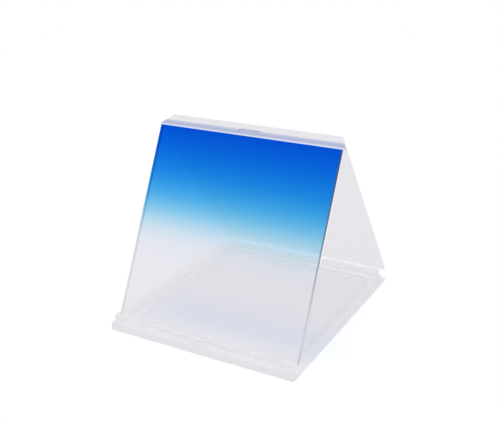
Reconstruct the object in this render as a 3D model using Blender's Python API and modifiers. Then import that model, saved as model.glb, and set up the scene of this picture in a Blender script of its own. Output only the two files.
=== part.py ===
"""Square graduated colour filter, leaning across its own opened case.

The filter is a flat square of dyed resin. Its case is a clear moulding: a shallow
tray, a narrow rear strip and a flat lid, joined by two thin folds. Opened, the lid
leans forward until it rests on the top edge of the filter, so that tray, lid and
filter make a triangle that stands by itself.

Metres, +Z up. X runs across the filter, +Y runs from the filter to the folds, and
the origin is below the middle of the tray. Rear means +Y, front means -Y.
"""

import math

import bmesh
import bpy
from mathutils import Matrix, Vector

MM = 0.001

# Filter: one square resin plate
FILTER_SIDE = 84 * MM
FILTER_THICKNESS = 2.0 * MM
FILTER_EDGE_RADIUS = 0.3 * MM

# Case: wall of the moulding, and the gap between pieces that touch
WALL = 0.6 * MM
GAP = 0.3 * MM

# How far a cutting block stands clear of what it cuts
CLEAR = 1 * MM

# Tray
TRAY_DEPTH = 98 * MM
TRAY_HEIGHT = 5.3 * MM
SIDE_CLEARANCE = 0.3 * MM
LEDGE_HEIGHT = 3.0 * MM
LEDGE_WIDTH = 5.5 * MM
RECESS_RADIUS = 5 * MM
FRONT_STEP = 3.2 * MM
FRONT_RIB_HEIGHT = 1.1 * MM
TRAY_CORNER_RADIUS = 0.8 * MM
REAR_SLOPE_LENGTH = 5.6 * MM
REAR_SLOPE_DROP = 1.0 * MM
REAR_EAR_HEIGHT = 0.9 * MM

# Folds, strip and lid
LID_FOLD_GAP = 0.5 * MM
STRIP_WIDTH = 80 * MM
STRIP_HEIGHT = 4.8 * MM
LID_LENGTH = 91.5 * MM
LID_CORNER_RADIUS = 2.2 * MM
LID_PANEL_STEP = 0.35 * MM
LID_PANEL_MARGIN = 5.5 * MM
LIP_DEPTH = 6.0 * MM
LIP_TAPER = 3.4 * MM
LIP_LEAN = math.radians(7)

# Latch: a catch on the tray's front ledge and a tongue on the lid's lip
LATCH_WIDTH = 9.5 * MM
LATCH_HEIGHT = 0.7 * MM
LATCH_DEPTH = 1.6 * MM

# Pose: how far behind the front edge the filter stands, and how far below the
# lid's free edge it touches
FOOT_SETBACK = 6.7 * MM
TOP_SETBACK = 1.0 * MM

# Sizes that follow from those above
TRAY_WIDTH = FILTER_SIDE + 2 * (SIDE_CLEARANCE + WALL)
FRONT_Y = -TRAY_DEPTH / 2
REAR_Y = TRAY_DEPTH / 2
STRIP_FRONT_Y = REAR_Y - GAP - WALL
STRIP_BOTTOM_Z = WALL / 2
FOLD_Y = STRIP_FRONT_Y + WALL / 2
FOLD_Z = STRIP_BOTTOM_Z + STRIP_HEIGHT + GAP / 2


ALONG_Y = (0, 1, 0)
ALONG_Z = (0, 0, 1)


def lean_angles():
    """Angles of the filter and the lid from the triangle that they make with the tray."""
    foot = Vector((FRONT_Y + FOOT_SETBACK, LEDGE_HEIGHT + GAP))
    fold = Vector((FOLD_Y, FOLD_Z))
    base = fold - foot
    along_lid = LID_LENGTH - TOP_SETBACK
    across = GAP
    lid_side = math.hypot(along_lid, across)
    cosine = (base.length**2 + lid_side**2 - FILTER_SIDE**2) / (2 * base.length * lid_side)
    inclination = math.atan2(base.y, base.x)
    lid_angle = math.acos(cosine) - inclination + math.atan2(across, along_lid)
    touch = fold + Vector((-math.cos(lid_angle), math.sin(lid_angle))) * along_lid
    touch += Vector((-math.sin(lid_angle), -math.cos(lid_angle))) * across
    filter_angle = math.atan2(touch.x - foot.x, touch.y - foot.y)
    return foot, filter_angle, lid_angle


def clear_scene():
    for existing in list(bpy.data.objects):
        bpy.data.objects.remove(existing)


def new_collection(name):
    collection = bpy.data.collections.new(name)
    bpy.context.scene.collection.children.link(collection)
    return collection


def plastic(name, colour, roughness, transmission, alpha):
    """A plain plastic material."""
    material = bpy.data.materials.new(name)
    material.use_nodes = True
    shader = material.node_tree.nodes["Principled BSDF"]
    shader.inputs["Base Color"].default_value = (*colour, 1)
    shader.inputs["Roughness"].default_value = roughness
    shader.inputs["Metallic"].default_value = 0
    shader.inputs["IOR"].default_value = 1.49
    shader.inputs["Transmission Weight"].default_value = transmission
    shader.inputs["Alpha"].default_value = alpha
    return material


def block(name, low, high, collection):
    """A box between two corners, with its origin at the world's."""
    low, high = Vector(low), Vector(high)
    size = high - low
    form = bmesh.new()
    place = Matrix.Translation((low + high) / 2) @ Matrix.Diagonal((*size, 1))
    bmesh.ops.create_cube(form, size=1, matrix=place)
    mesh = bpy.data.meshes.new(name)
    form.to_mesh(mesh)
    form.free()
    shape = bpy.data.objects.new(name, mesh)
    collection.objects.link(shape)
    return shape


def round_corners(shape, along, radius, segments=6, where=None):
    """Round the edges of a box that run along an axis, or those of them that a test picks."""
    form = bmesh.new()
    form.from_mesh(shape.data)
    corners = []
    for edge in form.edges:
        a, b = (vertex.co for vertex in edge.verts)
        parallel = (b - a).normalized().cross(Vector(along)).length < 1e-4
        if parallel and (where is None or where(a)):
            corners.append(edge)
    bmesh.ops.bevel(
        form, geom=corners, offset=radius, offset_type="OFFSET", affect="EDGES",
        segments=segments, profile=0.5, material=-1,
    )
    form.to_mesh(shape.data)
    form.free()


def prism(name, outline, half_width, collection):
    """A solid with an outline in Y and Z, extruded from -half_width to half_width in X."""
    form = bmesh.new()
    corners = [form.verts.new((-half_width, y, z)) for y, z in outline]
    face = form.faces.new(corners)
    swept = bmesh.ops.extrude_face_region(form, geom=[face])
    moved = [item for item in swept["geom"] if isinstance(item, bmesh.types.BMVert)]
    bmesh.ops.translate(form, verts=moved, vec=(2 * half_width, 0, 0))
    bmesh.ops.recalc_face_normals(form, faces=form.faces)
    mesh = bpy.data.meshes.new(name)
    form.to_mesh(mesh)
    form.free()
    shape = bpy.data.objects.new(name, mesh)
    collection.objects.link(shape)
    return shape


def combine(target, tool, operation):
    """Cut a tool from a solid or join it on, and keep the tool out of the model."""
    tool.hide_render = True
    tool.display_type = "WIRE"
    step = target.modifiers.new(tool.name, "BOOLEAN")
    step.operation = operation
    step.solver = "EXACT"
    step.object = tool


def soften(shape, radius, segments=2):
    """Break the sharp edges of a solid."""
    step = shape.modifiers.new("edges", "BEVEL")
    step.width = radius
    step.segments = segments
    step.limit_method = "ANGLE"
    step.angle_limit = math.radians(40)


def build_filter(parts, foot, angle, material):
    """The square plate, standing on the rear edge of its lower side."""
    half = FILTER_SIDE / 2
    plate = block("filter_plate", (-half, -FILTER_THICKNESS, 0), (half, 0, FILTER_SIDE), parts)
    soften(plate, FILTER_EDGE_RADIUS)
    plate.location = (0, foot.x, foot.y)
    plate.rotation_euler = (-angle, 0, 0)
    plate.data.materials.append(material)
    return plate


def build_tray(parts, cutters, material):
    """The tray: a border ledge round a sunk floor, with side walls above the ledge."""
    half = TRAY_WIDTH / 2
    inside = half - WALL
    above = TRAY_HEIGHT + CLEAR
    below = -CLEAR
    tray = block("case_base", (-half, FRONT_Y, 0), (half, REAR_Y, TRAY_HEIGHT), parts)
    round_corners(tray, ALONG_Z, TRAY_CORNER_RADIUS, segments=3, where=lambda place: place.y < 0)

    rib_front = FRONT_Y + FRONT_STEP
    rib_top = LEDGE_HEIGHT + FRONT_RIB_HEIGHT
    cavity = block(
        "cavity", (-inside, rib_front + WALL, LEDGE_HEIGHT), (inside, REAR_Y + WALL, above), cutters
    )
    combine(tray, cavity, "DIFFERENCE")
    step = block(
        "front_step", (-half - WALL, FRONT_Y - WALL, LEDGE_HEIGHT), (half + WALL, rib_front, above), cutters
    )
    combine(tray, step, "DIFFERENCE")
    rib_trim = block(
        "rib_trim", (-inside, rib_front - WALL, rib_top), (inside, rib_front + 2 * WALL, above), cutters
    )
    combine(tray, rib_trim, "DIFFERENCE")

    floor_half = half - LEDGE_WIDTH
    floor_front = FRONT_Y + FRONT_STEP + LEDGE_WIDTH
    floor_rear = STRIP_FRONT_Y - GAP - LEDGE_WIDTH
    recess = block("floor_recess", (-floor_half, floor_front, WALL), (floor_half, floor_rear, above), cutters)
    round_corners(recess, ALONG_Z, RECESS_RADIUS)
    combine(tray, recess, "DIFFERENCE")

    bay_half = STRIP_WIDTH / 2 + GAP
    slope_start = REAR_Y - REAR_SLOPE_LENGTH
    channel_top = LEDGE_HEIGHT - WALL
    channel = block("channel", (-inside, FRONT_Y + WALL, below), (inside, slope_start, channel_top), cutters)
    rear_half = bay_half - WALL
    skirt_inside = STRIP_FRONT_Y - GAP - WALL
    rear_channel = block(
        "rear_channel", (-rear_half, floor_rear, below), (rear_half, skirt_inside, channel_top), cutters
    )
    combine(channel, rear_channel, "UNION")
    island = block(
        "floor_island",
        (-floor_half - WALL, floor_front - WALL, below - CLEAR),
        (floor_half + WALL, floor_rear + WALL, channel_top + CLEAR),
        cutters,
    )
    round_corners(island, ALONG_Z, RECESS_RADIUS + WALL)
    combine(channel, island, "DIFFERENCE")
    combine(tray, channel, "DIFFERENCE")

    bay = block(
        "strip_bay", (-bay_half, STRIP_FRONT_Y - GAP, below), (bay_half, REAR_Y + WALL, above), cutters
    )
    combine(tray, bay, "DIFFERENCE")
    slope = prism(
        "rear_slope",
        [
            (slope_start, above),
            (slope_start, TRAY_HEIGHT - REAR_SLOPE_DROP),
            (REAR_Y + WALL, REAR_EAR_HEIGHT),
            (REAR_Y + WALL, above),
        ],
        half + WALL,
        cutters,
    )
    keep = block(
        "slope_keep",
        (-bay_half, slope_start - WALL, below),
        (bay_half, REAR_Y + 2 * WALL, above + CLEAR),
        cutters,
    )
    combine(slope, keep, "DIFFERENCE")
    combine(tray, slope, "DIFFERENCE")

    catch = block(
        "catch",
        (-LATCH_WIDTH / 2, FRONT_Y + WALL, LEDGE_HEIGHT - WALL / 2),
        (LATCH_WIDTH / 2, FRONT_Y + WALL + LATCH_DEPTH, LEDGE_HEIGHT + LATCH_HEIGHT),
        cutters,
    )
    combine(tray, catch, "UNION")
    tray.data.materials.append(material)
    return tray


def build_strip(parts, material):
    """The narrow rear wall between the two folds."""
    half = STRIP_WIDTH / 2
    strip = block(
        "hinge_strip",
        (-half, STRIP_FRONT_Y, STRIP_BOTTOM_Z),
        (half, STRIP_FRONT_Y + WALL, STRIP_BOTTOM_Z + STRIP_HEIGHT),
        parts,
    )
    soften(strip, WALL / 4)
    strip.data.materials.append(material)
    return strip


def build_lid(parts, cutters, angle, material):
    """The lid, flat in X and Z with its inner face at Y 0, then leant about its fold."""
    half = TRAY_WIDTH / 2
    start = LID_FOLD_GAP
    lid = block("case_lid", (-half, 0, start), (half, WALL, LID_LENGTH), parts)
    round_corners(lid, ALONG_Y, LID_CORNER_RADIUS, where=lambda place: place.z < LID_LENGTH / 2)

    edge_x = half - LID_PANEL_MARGIN
    low_z = start + LID_PANEL_MARGIN
    high_z = LID_LENGTH - LID_PANEL_MARGIN
    pad = block("panel_pad", (-edge_x, WALL / 2, low_z), (edge_x, WALL + LID_PANEL_STEP, high_z), cutters)
    combine(lid, pad, "UNION")
    sunk = block(
        "panel_recess",
        (-edge_x + WALL, -WALL, low_z + WALL),
        (edge_x - WALL, LID_PANEL_STEP, high_z - WALL),
        cutters,
    )
    combine(lid, sunk, "DIFFERENCE")

    lip = block("lip", (-half, 0, -WALL), (half, LIP_DEPTH, 0), cutters)
    for vertex in lip.data.vertices:
        if vertex.co.y > LIP_DEPTH / 2:
            vertex.co.x -= math.copysign(LIP_TAPER, vertex.co.x)
    turn = Matrix.Translation((0, 0, LID_LENGTH)) @ Matrix.Rotation(-LIP_LEAN, 4, "X")
    lip.data.transform(turn)
    combine(lid, lip, "UNION")
    tongue = block(
        "tongue",
        (-LATCH_WIDTH / 2, WALL, -WALL / 2),
        (LATCH_WIDTH / 2, WALL + LATCH_DEPTH, LATCH_HEIGHT),
        cutters,
    )
    tongue.data.transform(turn)
    combine(lid, tongue, "UNION")

    fold = Matrix.Translation((0, FOLD_Y, FOLD_Z)) @ Matrix.Rotation(math.pi / 2 - angle, 4, "X")
    lid.matrix_world = fold
    for step in lid.modifiers:
        step.object.matrix_world = fold
    lid.data.materials.append(material)
    return lid


def main():
    clear_scene()
    parts = new_collection("square_graduated_filter")
    cutters = new_collection("cutters")
    foot, filter_angle, lid_angle = lean_angles()
    dyed = plastic("dyed_resin", (0.05, 0.30, 0.75), 0.05, 0.9, 1)
    clear = plastic("clear_plastic", (0.80, 0.80, 0.82), 0.15, 0.8, 1)
    build_filter(parts, foot, filter_angle, dyed)
    build_tray(parts, cutters, clear)
    build_strip(parts, clear)
    build_lid(parts, cutters, lid_angle, clear)
    bpy.context.view_layer.update()


main()
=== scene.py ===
# %% [markdown]
# A square graduated color filter stands in its own opened case. The plate is dyed
# resin, deep blue at the top and clear at the foot. The case is one clear moulding
# that folds twice: a tray on the table, a narrow strip behind it, and a lid that
# leans forward on to the top of the plate.
# This script dresses the solid model. It loads that model as a fixed frame, then adds
# the camera, the light, the finishes and the small moulded details, one step at a time.

import math

import bmesh
import bpy
from mathutils import Euler, Matrix, Vector


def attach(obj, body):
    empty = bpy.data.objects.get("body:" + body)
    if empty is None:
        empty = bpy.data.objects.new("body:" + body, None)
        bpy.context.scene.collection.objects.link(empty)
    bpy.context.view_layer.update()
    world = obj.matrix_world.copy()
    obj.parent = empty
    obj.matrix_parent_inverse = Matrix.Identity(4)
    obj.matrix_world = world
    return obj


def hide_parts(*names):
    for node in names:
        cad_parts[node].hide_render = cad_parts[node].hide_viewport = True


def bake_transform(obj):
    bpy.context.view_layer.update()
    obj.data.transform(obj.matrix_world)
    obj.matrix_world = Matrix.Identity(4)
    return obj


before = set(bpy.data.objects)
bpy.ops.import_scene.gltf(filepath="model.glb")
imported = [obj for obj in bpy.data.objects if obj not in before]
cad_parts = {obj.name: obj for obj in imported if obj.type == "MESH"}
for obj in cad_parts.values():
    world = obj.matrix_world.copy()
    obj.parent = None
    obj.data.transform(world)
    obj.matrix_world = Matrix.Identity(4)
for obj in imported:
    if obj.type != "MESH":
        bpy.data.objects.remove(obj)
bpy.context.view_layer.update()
MM = 0.001

# %% [markdown]
# The camera looks at the object a little from the right and from above, as a person
# does who sits at the table. It could be placed by eye, but the corners of the tray,
# the plate and the lid are known in millimetres, so a least squares fit to their
# places in the picture gives one exact answer. The camera's three axes are built from
# two angles and a very small roll, and stand as the columns of its matrix.

# %% Camera
CAMERA_PLACE = Vector((155.6, -282.1, 169.0)) * MM
CAMERA_AZIMUTH = math.radians(29.26)
CAMERA_ELEVATION = math.radians(21.11)
CAMERA_ROLL = math.radians(-0.69)
FOCAL_PIXELS = 806.9
PICTURE_WIDTH = 500
SENSOR_WIDTH = 36
NEAREST_SEEN = 10 * MM


def camera_axes(azimuth, elevation, roll):
    """The camera's right, up and back directions."""
    back = Vector((math.sin(azimuth) * math.cos(elevation),
                   -math.cos(azimuth) * math.cos(elevation),
                   math.sin(elevation)))
    right = Vector((math.cos(azimuth), math.sin(azimuth), 0))
    turn = Matrix.Rotation(roll, 3, back)
    return turn @ right, turn @ back.cross(right), back


axes = Matrix(camera_axes(CAMERA_AZIMUTH, CAMERA_ELEVATION, CAMERA_ROLL)).transposed()
lens = bpy.data.cameras.new("camera")
lens.sensor_width = SENSOR_WIDTH
lens.lens = FOCAL_PIXELS * SENSOR_WIDTH / PICTURE_WIDTH
lens.clip_start = NEAREST_SEEN
camera = bpy.data.objects.new("camera", lens)
camera.matrix_world = Matrix.Translation(CAMERA_PLACE) @ axes.to_4x4()
bpy.context.scene.collection.objects.link(camera)
bpy.context.scene.camera = camera
bpy.context.scene.view_settings.view_transform = "Standard"
print("the lens is", round(lens.lens, 1), "mm long")

# %% [markdown]
# Shader maths reads best as plain Python. A finish such as a dye that fades is a small
# sum on the height of a point, and as loose nodes that sum is hard to follow. So one
# class wraps a socket, and adding or multiplying two of them adds the Math node. Every
# other node comes from its one method, which sets the node up before it is connected.


# %% A socket that can be used in sums
class Wire:
    """One output socket in a node tree, or the bare tree when it has no socket."""

    def __init__(self, tree, socket=None):
        self.tree = tree
        self.socket = socket

    def node(self, kind, settings=None, inputs=None, output=0):
        """Adds a node, sets it up, feeds its sockets, and returns one of its outputs."""
        made = self.tree.nodes.new(kind)
        for name, value in (settings or {}).items():
            if name == "stops":
                ramp = made.color_ramp
                while len(ramp.elements) < len(value):
                    ramp.elements.new(0.5)
                for element, (position, colour) in zip(ramp.elements, value):
                    element.position = position
                    element.color = colour
            else:
                setattr(made, name, value)
        for name, value in (inputs or {}).items():
            if isinstance(value, Wire):
                self.tree.links.new(value.socket, made.inputs[name])
            else:
                made.inputs[name].default_value = value
        return Wire(self.tree, made.outputs[output]) if made.outputs else None

    def maths(self, operation, *values):
        """A Math node with this operation on one or more values."""
        return self.node("ShaderNodeMath", {"operation": operation}, dict(enumerate(values)))

    def __add__(self, other):
        return self.maths("ADD", self, other)

    def __radd__(self, other):
        return self.maths("ADD", other, self)

    def __sub__(self, other):
        return self.maths("SUBTRACT", self, other)

    def __rsub__(self, other):
        return self.maths("SUBTRACT", other, self)

    def __mul__(self, other):
        return self.maths("MULTIPLY", self, other)

    def __rmul__(self, other):
        return self.maths("MULTIPLY", other, self)

    def __truediv__(self, other):
        return self.maths("DIVIDE", self, other)

    def __rtruediv__(self, other):
        return self.maths("DIVIDE", other, self)


# %% [markdown]
# All the finishes share a few small steps: they fade from one place to another, mix two
# colours, or read one coordinate. A colour is written here as a screen shows it, from 0
# to 255, because that is how it is measured in a picture. A shader wants amounts of
# light instead, so each colour is turned into those first.

# %% Helpers for the finishes
WHITE = (1, 1, 1, 1)
BLACK = (0, 0, 0, 1)


def linear(red, green, blue):
    """A colour as a screen shows it, 0 to 255, in the numbers that a shader takes."""
    def one(level):
        share = level / 255
        return share / 12.92 if share <= 0.04045 else ((share + 0.055) / 1.055) ** 2.4
    return (one(red), one(green), one(blue), 1)


def fade(wire, value, start, end):
    """0 up to start and 1 from end, with a straight slope between them."""
    return wire.node("ShaderNodeMapRange", inputs={0: value, 1: start, 2: end, 3: 0.0, 4: 1.0})


def mixed(wire, share, under, over):
    """One colour laid over another by a share from 0 to 1."""
    return wire.node("ShaderNodeMix", {"data_type": "RGBA"}, {"Factor": share, 6: under, 7: over}, output=2)


def part_of(wire, place, axis):
    """The X, Y or Z of a place."""
    return wire.node("ShaderNodeSeparateXYZ", inputs={0: place}, output=axis)


def from_here(wire, place, start, turn=0.0):
    """A place seen from a new start, in axes that are turned about X."""
    return wire.node("ShaderNodeMapping", {"vector_type": "TEXTURE"}, {
        "Vector": place, "Location": start, "Rotation": Euler((turn, 0, 0))})


def new_material(name):
    """An empty material, and its node tree as a Wire."""
    material = bpy.data.materials.new(name)
    material.use_nodes = True
    material.node_tree.nodes.clear()
    return material, Wire(material.node_tree)


def wear(piece, material):
    """Gives a whole piece one material."""
    piece.data.materials.clear()
    piece.data.materials.append(material)


print("a mid grey on the screen is", round(linear(128, 128, 128)[0], 3), "of the light of white")

# %% [markdown]
# Clear plastic has hardly any colour of its own: it shows what is round it. So the
# studio matters more here than for most objects. The background is pure white, yet the
# white seen through the plastic is a pale, slightly lavender grey, as in a room where
# only the backdrop is lit. Walls could be built for that. A simpler way is to ask each
# ray what it has met: a ray straight from the camera finds white, a ray that has passed
# through plastic finds SEEN_THROUGH, a mirrored ray finds SEEN_MIRRORED, and all other
# rays find a plain level of light.

# %% White surround
LIGHT_FROM_WORLD = 0.6
SEEN_THROUGH = (0.805, 0.795, 0.85)
SEEN_MIRRORED = 0.8


def surround(wire, own_light=0.0):
    """Which rays see the white surround, its colour to them, and how bright it is.

    A surface that adds some light of its own, such as the table, names that share.
    """
    camera_ray = wire.node("ShaderNodeLightPath", output="Is Camera Ray")
    glossy_ray = wire.node("ShaderNodeLightPath", output="Is Glossy Ray")
    through_ray = wire.node("ShaderNodeLightPath", output="Is Transmission Ray")
    scattered = wire.node("ShaderNodeLightPath", output="Diffuse Depth")
    straight = 1 - wire.maths("MINIMUM", scattered, 1)
    through = through_ray * straight
    mirrored = glossy_ray * (1 - through_ray) * straight
    level = [(share - own_light) / (1 - own_light) for share in SEEN_THROUGH]
    colour = mixed(wire, through, WHITE, (*level, 1))
    return camera_ray + through + mirrored, colour, camera_ray + through + mirrored * SEEN_MIRRORED


world = bpy.data.worlds.new("white surround")
bpy.context.scene.world = world
world.use_nodes = True
world.node_tree.nodes.clear()
air = Wire(world.node_tree)
seen, colour, strength = surround(air)
lit = air.node("ShaderNodeBackground", inputs={
    "Color": colour, "Strength": strength + (1 - seen) * LIGHT_FROM_WORLD})
air.node("ShaderNodeOutputWorld", inputs={"Surface": lit})
print("the surround has", len(world.node_tree.nodes), "nodes")

# %% [markdown]
# The table is a white disc, wide enough for the case's soft shadow and small enough to
# show no horizon. It lies a hair under the tray, because two faces in one plane would
# flicker. Plain white paper would turn grey in the picture wherever the lamp is weak.
# So the disc glows like the surround, and only a share of it is paper that a shadow
# can darken.

# %% Table
FLOOR_RADIUS = 0.7
FLOOR_SIDES = 96
FLOOR_DROP = 0.1 * MM
SHADOW_SHARE = 0.3

disc = bmesh.new()
bmesh.ops.create_circle(disc, cap_ends=True, radius=FLOOR_RADIUS, segments=FLOOR_SIDES,
                        matrix=Matrix.Translation((0, 0, -FLOOR_DROP)))
floor_mesh = bpy.data.meshes.new("table_top")
disc.to_mesh(floor_mesh)
disc.free()
table_top = bpy.data.objects.new("table_top", floor_mesh)
bpy.context.scene.collection.objects.link(table_top)

white_table, wire = new_material("white_table")
seen, colour, strength = surround(wire, SHADOW_SHARE)
paper = wire.node("ShaderNodeBsdfDiffuse", inputs={"Color": WHITE})
glow = wire.node("ShaderNodeEmission", inputs={"Color": colour, "Strength": strength})
surface = wire.node("ShaderNodeMixShader", inputs={0: seen * (1 - SHADOW_SHARE), 1: paper, 2: glow})
wire.node("ShaderNodeOutputMaterial", inputs={"Surface": surface})
wear(table_top, white_table)
print("the table is", 2 * FLOOR_RADIUS, "m wide")

# %% [markdown]
# One large, soft lamp hangs overhead, a little behind and to the left. It throws the
# plate's blue cast forward on to the tray and keeps its rim soft. The plastic lets the
# lamp's light through by a Transparent shader, which only the rays from a surface to
# the lamp meet. A ray that bends inside the plastic and then hits the lamp would bring
# the same light a second time, as bright streaks, so such rays don't see the lamp.

# %% Lamp
LAMP_PLACE = Vector((-0.24, 0.34, 3.0))
LAMP_AIM = Vector((0, 0, 0.03))
LAMP_WIDTH = 1.0
LAMP_POWER = 44.5

light = bpy.data.lights.new("overhead", "AREA")
light.size = LAMP_WIDTH
light.energy = LAMP_POWER
lamp = bpy.data.objects.new("overhead", light)
lamp.location = LAMP_PLACE
lamp.rotation_euler = (LAMP_AIM - LAMP_PLACE).to_track_quat("-Z", "Y").to_euler()
lamp.visible_transmission = False
bpy.context.scene.collection.objects.link(lamp)
print("the lamp hangs", round((LAMP_PLACE - LAMP_AIM).length, 2), "m away")

# %% [markdown]
# The plate is cast resin, 84 mm square and 2 mm thick, and it leans back in the tray.
# Every mark on it follows its own edges. They could be unwrapped on to a flat map, but
# a Mapping node gives the same with less work: it leans the coordinates with the plate
# and starts them at its foot.

# %% Coordinates on the leaning plate
PLATE_SIDE = 84 * MM
PLATE_THICKNESS = 2 * MM
PLATE_LEAN = math.radians(26.516)
PLATE_FOOT = Vector((0, -42.3, 3.3)) * MM

dyed_resin, wire = new_material("dyed_resin")
place = wire.node("ShaderNodeTexCoord", output="Object")
on_plate = from_here(wire, place, PLATE_FOOT, -PLATE_LEAN)
across = part_of(wire, on_plate, "X")  # 0 in the middle, and positive to the right
depth = part_of(wire, on_plate, "Y")  # 0 at the rear face, and negative towards the front face
height = part_of(wire, on_plate, "Z")  # 0 at the foot
from_top = 1 - height / PLATE_SIDE  # 0 at the top edge and 1 at the foot
print("the plate leans back", round(math.degrees(PLATE_LEAN), 1), "degrees")

# %% [markdown]
# The plate is lowered into blue dye and drawn out slowly, so the dye is densest at the
# top and gone by the middle. Light that passes a dye falls off exponentially with its
# density, and red falls much faster than blue, which is why such a plate goes from pale
# sky blue to a deep, saturated blue instead of only getting darker. A colour ramp could
# be drawn by eye, but one density curve and three absorptions give every shade between.
# The curve starts softly and then climbs straight to the top. Very faint level lines in
# it are left by the dye bath. The resin bends light less here than real resin does,
# because a full bend draws black lines along the rims of so thin a plate.

# %% Dye
DYE_STRENGTH = 16.4
DYE_END = 0.491
DYE_SOFTNESS = 0.045
ABSORBS = {"Red": 1.0, "Green": 0.285, "Blue": 0.03}
LINE_SHARE = 0.03
LINE_STRETCH = Vector((12, 1, 420))
LINE_DETAIL = 2.0
RESIN_IOR = 1.1

slope = wire.maths("EXPONENT", (DYE_END - from_top) / DYE_SOFTNESS)
density = wire.maths("LOGARITHM", slope + 1, math.e) * (DYE_STRENGTH * DYE_SOFTNESS)
stretched = wire.node("ShaderNodeMapping", inputs={"Vector": on_plate, "Scale": LINE_STRETCH})
lines = wire.node("ShaderNodeTexNoise", inputs={
    "Vector": stretched, "Scale": 1.0, "Detail": LINE_DETAIL})
density = density * (1 + (lines - 0.5) * LINE_SHARE)
passed = {name: wire.maths("EXPONENT", density * -share) for name, share in ABSORBS.items()}
dye = wire.node("ShaderNodeCombineColor", inputs=passed)
resin = wire.node("ShaderNodeBsdfPrincipled", inputs={
    "Base Color": dye, "Roughness": 0.0, "IOR": RESIN_IOR, "Transmission Weight": 1.0})
for drop in (0.0, 0.25, 0.5, 0.75):
    dyed = DYE_STRENGTH * DYE_SOFTNESS * math.log(1 + math.exp((DYE_END - drop) / DYE_SOFTNESS))
    print("at", drop, "from the top the plate passes",
          {name: round(math.exp(-dyed * share), 2) for name, share in ABSORBS.items()})

# %% [markdown]
# The plate's edges look different from its faces. They are sawn and only half polished,
# and they read as thin lines: painted shade makes the sides dark on the right and paler
# on the left, and a painted glow stands for the light that travels inside the plate and
# leaves at the top as a pale blue line. Each edge could be cut off as a piece of its own,
# but they are less than half a millimetre wide, so a mask from the plate's coordinates
# finds each of them. A mask is two distances from its edge: where it starts, and where it
# is full.

# %% Where the plate's edges are
SIDE_BAND = (0.45 * MM, 0.225 * MM)
LEFT_RIM = (0.32 * MM, 0.22 * MM)
RIGHT_RIM = (0.42 * MM, 0.32 * MM)
FOOT_RIM = (0.6 * MM, 0.5 * MM)
TOP_BAND = (0.14 * MM, 0.04 * MM)
SAWN_FACE = (0.04 * MM, 0.01 * MM)
GLINT_DEPTH = (-0.5 * PLATE_THICKNESS, -0.35 * PLATE_THICKNESS)
GLINT_ENDS = (0.5, 0.75)


def near(value, edge, distances):
    """A mask that starts at the first distance below an edge and is full from the second."""
    start, full = distances
    return fade(wire, value, edge - start, edge - full)


half = PLATE_SIDE / 2
to_the_left = across * -1
downwards = height * -1
side_band = near(wire.maths("ABSOLUTE", across), half, SIDE_BAND)
left_rim = near(to_the_left, half, LEFT_RIM)
right_rim = near(across, half, RIGHT_RIM)
left_face = near(to_the_left, half, SAWN_FACE)
right_face = near(across, half, SAWN_FACE)
foot_rim = near(downwards, 0, FOOT_RIM)
foot_face = near(downwards, 0, SAWN_FACE)
top_band = near(height, PLATE_SIDE, TOP_BAND)
# A painted highlight: a bright line on the rear half of the right side face, fading towards the foot.
painted_glint = fade(wire, depth, *GLINT_DEPTH) * right_face * (1 - fade(wire, from_top, *GLINT_ENDS))
print("the rims are", LEFT_RIM[0] / MM, "and", RIGHT_RIM[0] / MM, "mm wide")

# %% [markdown]
# The right side is painted shade: a dark line at the top that pales towards the foot,
# with a painted highlight, a bright line, on its rear half, where light leaves the resin.
# The left side is painted paler, because it is seen through the dyed plate itself, so it
# is the dye's colour with only some of the dark. The top and the foot get a painted glow
# for light piped along the inside. Real light could do this with a full bend, but only
# with many more bounces than a picture can wait for, so each edge gets its measured
# colour as painted light and shade, and a little painted glow.

# %% Painted light and shade on the plate's edges
# Painted shade on the sawn sides: dark at the top, paler towards the foot.
PAINTED_SIDE_SHADES = [
    (0.00, linear(44, 62, 118)),
    (0.06, linear(50, 70, 122)),
    (0.24, linear(55, 93, 142)),
    (0.42, linear(114, 131, 160)),
    (0.60, linear(184, 184, 195)),
    (0.80, linear(222, 221, 229)),
]
# The pale blue line along the top is a painted glow.
PAINTED_TOP_GLOW = linear(200, 220, 255)
# The bright line on the right side's rear half is a painted highlight.
PAINTED_GLINT_COLOUR = linear(246, 248, 255)
RIM_SHADE = 0.85
LEFT_DARKNESS = 0.4
LEFT_PIPED = 0.4
FOOT_PIPED = 0.45
EDGE_GLOW = 0.45
SAWN_ROUGHNESS = 0.35
SAWN_IOR = 1.5

# The rims are painted a shade darker than the dye, and the right side darker still.
painted_rim_shade = wire.node("ShaderNodeVectorMath", {"operation": "SCALE"}, {0: dye, "Scale": RIM_SHADE})
painted_side_shade = wire.node("ShaderNodeValToRGB", {"stops": PAINTED_SIDE_SHADES}, {0: from_top})
dark_share = 1 - (1 - right_rim) * (1 - LEFT_DARKNESS)
painted_edge_light = mixed(wire, dark_share, painted_rim_shade, painted_side_shade)
painted_edge_light = mixed(wire, painted_glint, painted_edge_light, PAINTED_GLINT_COLOUR)
painted_edge_light = mixed(wire, top_band, painted_edge_light, PAINTED_TOP_GLOW)
# Painted glow: the edges' emission stands for light piped along the inside of the plate.
painted_glow_share = wire.maths("MAXIMUM", left_rim * LEFT_PIPED, foot_rim * FOOT_PIPED)
painted_glow_share = wire.maths("MAXIMUM", painted_glow_share, wire.maths("MAXIMUM", painted_glint, top_band))
# The sawn edges carry the painted shade, the painted highlight and the painted glow.
sawn_edge_with_painted_light = wire.node("ShaderNodeBsdfPrincipled", inputs={
    "Base Color": painted_edge_light, "Roughness": SAWN_ROUGHNESS, "IOR": SAWN_IOR,
    "Emission Color": mixed(wire, painted_glow_share, BLACK, painted_edge_light), "Emission Strength": EDGE_GLOW})
print("the sides change colour at", len(PAINTED_SIDE_SHADES), "heights")

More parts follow.
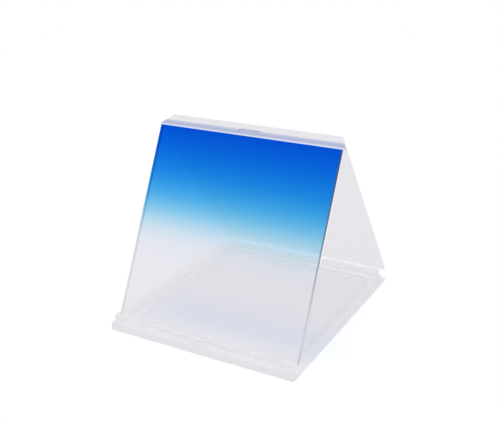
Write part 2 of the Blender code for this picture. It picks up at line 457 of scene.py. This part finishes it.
# %% [markdown]
# The sawn finish, which carries the painted shade, highlight and glow of the edges, now
# covers the clear resin at the edges, by a Mix Shader. It is never quite full, because
# some light still passes. On the flat side faces on the left and at the foot it is thin,
# so that they don't stand out as solid white bars.
# The blue cast on the tray is real light: the lamp shines through the dyed top of the
# plate. In full dye it would be as deep as the plate itself. Light that wanders in from
# all sides washes it out, so to the lamp's rays alone the plate is a paler blue, which
# fades to clear lower down.

# %% The whole plate
BAND_SHARE = 0.4
RIM_SHARE = 0.9
FLAT_SHARE = 0.2
CAST_FADES = (0.1, 0.68)
CAST_BLUE = linear(180, 216, 249)
CAST_CLEAR = linear(250, 250, 250)

side_rims = wire.maths("MAXIMUM", left_rim, right_rim)
on_rim = wire.maths("MAXIMUM", wire.maths("MAXIMUM", side_rims, top_band), foot_rim)
on_edge = wire.maths("MAXIMUM", side_band * BAND_SHARE, on_rim * RIM_SHARE)
on_edge = on_edge * (1 - wire.maths("MAXIMUM", left_face, foot_face) * (1 - FLAT_SHARE))
plate_finish = wire.node("ShaderNodeMixShader", inputs={0: on_edge, 1: resin, 2: sawn_edge_with_painted_light})

undyed = fade(wire, from_top, *CAST_FADES)
blue_light = wire.node("ShaderNodeBsdfTransparent", inputs={"Color": CAST_BLUE})
white_light = wire.node("ShaderNodeBsdfTransparent", inputs={"Color": CAST_CLEAR})
light_through = wire.node("ShaderNodeMixShader", inputs={0: undyed, 1: blue_light, 2: white_light})
lamp_ray = wire.node("ShaderNodeLightPath", output="Is Shadow Ray")
surface = wire.node("ShaderNodeMixShader", inputs={0: lamp_ray, 1: plate_finish, 2: light_through})
wire.node("ShaderNodeOutputMaterial", inputs={"Surface": surface})
wear(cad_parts["filter_plate"], dyed_resin)
print("the plate has", len(dyed_resin.node_tree.nodes), "shader nodes")

# %% [markdown]
# Painted shade makes the tray a shade greyer on its sunk floor, along its sides and in
# the front block, where more walls lie behind each other. Each place could be a material
# of its own, but a change of material needs an edge in the mesh, so masks on the tray's
# coordinates paint that shade instead. The floor's mask has the floor's own round
# corners: past the straight part of a side, it measures the distance to the middle of
# the corner's curve.

# %% Painted shade on the tray
FLOOR_HALF = (37.4 * MM, 39.8 * MM)
FLOOR_CORNER = 5 * MM
FLOOR_MIDDLE = Vector((0, 2.5, 0)) * MM
FLOOR_RIM = (0.1 * MM, 0.4 * MM)
FLOOR_TOP = (2.9 * MM, 3.1 * MM)
# Painted shade: the sunk floor, the sides and the front block are tinted darker than the rest of the tray.
FLOOR_PAINTED_SHADE = linear(251, 250, 248)
SIDE_RIM = (0.1 * MM, 0.5 * MM)
SIDE_PAINTED_SHADE = linear(252.5, 252, 250)
FRONT_ENDS = (-46.2 * MM, -45.9 * MM)
FRONT_PAINTED_SHADE = linear(249, 249, 247)


def sunk_floor(wire, place):
    """1 on the tray's sunk floor, up to its round corners, and 0 elsewhere."""
    centred = from_here(wire, place, FLOOR_MIDDLE)
    past = []
    for axis, half_size in zip("XY", FLOOR_HALF):
        aside = wire.maths("ABSOLUTE", part_of(wire, centred, axis))
        past.append(wire.maths("MAXIMUM", aside - (half_size - FLOOR_CORNER), 0.0))
    from_corner = wire.maths("SQRT", past[0] * past[0] + past[1] * past[1])
    inside = 1 - fade(wire, from_corner, *(FLOOR_CORNER + distance for distance in FLOOR_RIM))
    return inside * (1 - fade(wire, part_of(wire, centred, "Z"), *FLOOR_TOP))


def tray_painted_shade(wire, place, tint):
    """The tray's plastic with painted shade on its floor, sides and front block."""
    aside = wire.maths("ABSOLUTE", part_of(wire, place, "X"))
    at_side = fade(wire, aside, *(FLOOR_HALF[0] + distance for distance in SIDE_RIM))
    at_front = 1 - fade(wire, part_of(wire, place, "Y"), *FRONT_ENDS)
    tint = mixed(wire, sunk_floor(wire, place), tint, FLOOR_PAINTED_SHADE)
    tint = mixed(wire, at_side, tint, SIDE_PAINTED_SHADE)
    return mixed(wire, at_front, tint, FRONT_PAINTED_SHADE)


print("the tinted floor is", [round(2 * size / MM, 1) for size in FLOOR_HALF], "mm")

# %% [markdown]
# At the top, where the lid rests on the plate, the root of the lid's lip mirrors the
# plate: it shows a pale blue band, and a bright thin line where the two touch. This
# plastic is nearly clear and mirrors little, so a real reflection would hardly be seen.
# The band and the line are painted light instead, tints placed by coordinates that lean with the lid.
# They start at the lid's fold, and run along the lid and outward from it.

# %% Painted blue light at the root of the lip
FOLD_PLACE = Vector((0, 48.4, 5.25)) * MM
LID_TURN = math.radians(35.813)
LID_LENGTH = 91.5 * MM
LIP_STARTS = (LID_LENGTH - 1.2 * MM, LID_LENGTH - 0.8 * MM)
BLUE_BAND = (2.3 * MM, 2.9 * MM)
PAINTED_BLUE_BAND = linear(197, 206, 231)
CONTACT_LINE = (0.15 * MM, 0.35 * MM)
PAINTED_CONTACT_HIGHLIGHT = linear(228, 240, 255)


def lip_painted_light(wire, place, tint):
    """The lid's plastic with the painted blue band and the painted bright contact line at the root of its
    lip.
    """
    on_lid = from_here(wire, place, FOLD_PLACE, LID_TURN)
    outward = part_of(wire, on_lid, "Y")
    near_end = fade(wire, part_of(wire, on_lid, "Z"), *LIP_STARTS)
    tint = mixed(wire, near_end * (1 - fade(wire, outward, *BLUE_BAND)), tint, PAINTED_BLUE_BAND)
    return mixed(wire, near_end * (1 - fade(wire, outward, *CONTACT_LINE)), tint, PAINTED_CONTACT_HIGHLIGHT)


print("the blue band is", BLUE_BAND[1] / MM, "mm deep")

# %% [markdown]
# The case is moulded from natural polypropylene, the one common plastic that can be
# folded thousands of times at a thin web. It isn't quite clear: a little haze lies in
# it, in soft clouds, and its surface is satin. The usual recipe for glass would draw
# every rim as a black line, so this plastic hardly bends light. A hundredth or two of it
# is matt for the haze, and it has a thin, glossier coat for the mould's polish. To the
# lamp's rays it is an open, slightly grey pane.

# %% Hazy case plastic
CASE_IOR = 1.008
CLEAR_SHARE = 0.985
CLOUD_SCALE = 60.0
CLOUD_DETAIL = 3.0
CLOUDINESS = 0.03
CLOUD_GREY = linear(200, 200, 206)
SATIN = 0.29
SATIN_CLOUDS = 0.08
COAT_SHARE = 0.05
COAT_ROUGHNESS = 0.12
LAMP_PASSED = linear(246, 246, 248)


def case_plastic(name, colour, add_painted_light):
    """Hazy moulded plastic of one colour, with the painted light and shade of the piece that wears it."""
    material, wire = new_material(name)
    place = wire.node("ShaderNodeTexCoord", output="Object")
    clouds = wire.node("ShaderNodeTexNoise", inputs={
        "Vector": place, "Scale": CLOUD_SCALE, "Detail": CLOUD_DETAIL})
    tint = add_painted_light(wire, place, mixed(wire, clouds * CLOUDINESS, colour, CLOUD_GREY))
    plastic = wire.node("ShaderNodeBsdfPrincipled", inputs={
        "Base Color": tint, "Roughness": SATIN + clouds * SATIN_CLOUDS, "IOR": CASE_IOR,
        "Transmission Weight": CLEAR_SHARE, "Coat Weight": COAT_SHARE, "Coat Roughness": COAT_ROUGHNESS})
    open_to_light = wire.node("ShaderNodeBsdfTransparent", inputs={"Color": LAMP_PASSED})
    lamp_ray = wire.node("ShaderNodeLightPath", output="Is Shadow Ray")
    surface = wire.node("ShaderNodeMixShader", inputs={0: lamp_ray, 1: plastic, 2: open_to_light})
    wire.node("ShaderNodeOutputMaterial", inputs={"Surface": surface})
    return material


clear_tray = case_plastic("clear_tray", linear(253, 253, 252), tray_painted_shade)
clear_lid = case_plastic("clear_lid", linear(252, 252, 250), lip_painted_light)
print("case finishes:", clear_tray.name, clear_lid.name)

# %% [markdown]
# A moulded part has no perfectly sharp edge, because molten plastic can't fill one, and
# the tiny radius on each rim is what catches the light. The solid model keeps its edges
# sharp to stay small, so each of its three case pieces is copied, its loose triangles
# are merged back to whole faces, and the edges of those faces are bevelled. A Bevel
# modifier could round them too, but the triangles have to be merged first, so one small
# helper does both. It leaves out edges that turn by less than 25 degrees, so the small
# steps on round corners stay as they are.

# %% Rounded moulding
SAME_POINT = 0.001 * MM
FLAT_ANGLE = math.radians(1)
RIM_RADIUS = 0.14 * MM
RIM_ANGLE = math.radians(25)
RIM_STEPS = 2


def rounded_copy(node, name, material, body):
    """A copy of a solid with its sharp edges rounded, which takes the solid's place."""
    form = bmesh.new()
    form.from_mesh(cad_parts[node].data)
    bmesh.ops.remove_doubles(form, verts=form.verts, dist=SAME_POINT)
    bmesh.ops.dissolve_limit(form, angle_limit=FLAT_ANGLE, verts=form.verts, edges=form.edges)
    sharp = [edge for edge in form.edges if edge.is_manifold and edge.calc_face_angle() > RIM_ANGLE]
    rims = bmesh.ops.bevel(form, geom=sharp, offset=RIM_RADIUS, offset_type="OFFSET", affect="EDGES",
                           segments=RIM_STEPS, profile=0.5, material=-1, clamp_overlap=True)
    for face in rims["faces"]:
        face.smooth = True
    mesh = bpy.data.meshes.new(name)
    form.to_mesh(mesh)
    form.free()
    piece = bpy.data.objects.new(name, mesh)
    bpy.context.scene.collection.objects.link(piece)
    wear(piece, material)
    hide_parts(node)
    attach(piece, body)
    print(name, "has", len(sharp), "rounded edges and", len(mesh.polygons), "faces")


rounded_copy("case_base", "moulded_tray", clear_tray, "tray")
rounded_copy("hinge_strip", "moulded_strip", clear_lid, "strip")
rounded_copy("case_lid", "moulded_lid", clear_lid, "lid")

# %% [markdown]
# The two folds are thin webs of the same plastic, bent once for every opening. Stress
# turns a bent web white, so in the hazy case they show as thin, light lines. The web
# isn't clear like the rest: part of it is white, with a little painted glow, an emission
# for the light that the walls carry into it, and the other part is open.

# %% Stress-whitened plastic with a painted glow
FOLD_SHARE = 0.6
FOLD_COLOUR = linear(250, 250, 253)
# Painted glow: an emission for the light that the walls carry into the fold.
FOLD_PAINTED_GLOW = 0.26
FOLD_ROUGHNESS = 0.4
FOLD_IOR = 1.3
CRAZING_SCALE = 900.0
CRAZING_DETAIL = 2.0
CRAZING_SHARE = 0.1

stress_white_with_glow, wire = new_material("stress_whitened_fold_with_painted_glow")
place = wire.node("ShaderNodeTexCoord", output="Object")
crazing = wire.node("ShaderNodeTexNoise", inputs={
    "Vector": place, "Scale": CRAZING_SCALE, "Detail": CRAZING_DETAIL})
whitened = wire.node("ShaderNodeBsdfPrincipled", inputs={
    "Base Color": FOLD_COLOUR, "Roughness": FOLD_ROUGHNESS, "IOR": FOLD_IOR,
    "Emission Color": FOLD_COLOUR, "Emission Strength": FOLD_PAINTED_GLOW,
    "Alpha": FOLD_SHARE + (crazing - 0.5) * CRAZING_SHARE})
wire.node("ShaderNodeOutputMaterial", inputs={"Surface": whitened})
print("the folds are", FOLD_SHARE, "white")

# %% [markdown]
# Each web is a narrow ribbon across its joint. It is drawn out of one edge, step by
# step, with a slight bow, and then gets its thickness.

# %% Fold webs
WEB_THICKNESS = 0.16 * MM
WEB_STEPS = 6
WEB_HALF_WIDTH = 39.6 * MM
STRIP_TOP = Vector((0, 48.4, 5.0)) * MM
STRIP_FOOT = Vector((0, 48.4, 0.42)) * MM
TRAY_EDGE = Vector((0, 47.72, 0.42)) * MM
LID_UP = Vector((0, -math.sin(LID_TURN), math.cos(LID_TURN)))
LID_OUT = Vector((0, math.cos(LID_TURN), math.sin(LID_TURN)))
LID_EDGE = FOLD_PLACE + LID_UP * 0.62 * MM + LID_OUT * 0.3 * MM
LID_WEB_BOW = Vector((0, 0.12, 0)) * MM
REAR_WEB_BOW = Vector((0, 0, -0.1)) * MM


def fold_web(name, start, end, bow):
    """A thin ribbon from one edge to another, bowed to one side."""
    def middle(share):
        return start.lerp(end, share) + bow * math.sin(math.pi * share)

    form = bmesh.new()
    ends = [form.verts.new((side * WEB_HALF_WIDTH, start.y, start.z)) for side in (-1, 1)]
    rim = [form.edges.new(ends)]
    for step in range(1, WEB_STEPS + 1):
        grown = bmesh.ops.extrude_edge_only(form, edges=rim)["geom"]
        fresh = [item for item in grown if isinstance(item, bmesh.types.BMVert)]
        move = middle(step / WEB_STEPS) - middle((step - 1) / WEB_STEPS)
        bmesh.ops.translate(form, verts=fresh, vec=move)
        rim = [item for item in grown if isinstance(item, bmesh.types.BMEdge)
               and all(corner in fresh for corner in item.verts)]
    bmesh.ops.recalc_face_normals(form, faces=form.faces)
    bmesh.ops.solidify(form, geom=list(form.faces), thickness=WEB_THICKNESS)
    bmesh.ops.recalc_face_normals(form, faces=form.faces)
    mesh = bpy.data.meshes.new(name)
    form.to_mesh(mesh)
    form.free()
    web = bpy.data.objects.new(name, mesh)
    bpy.context.scene.collection.objects.link(web)
    wear(web, stress_white_with_glow)
    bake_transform(web)
    print(name, "spans", round((end - start).length / MM, 2), "mm")


fold_web("lid_fold_web", STRIP_TOP, LID_EDGE, LID_WEB_BOW)
fold_web("rear_fold_web", TRAY_EDGE, STRIP_FOOT, REAR_WEB_BOW)
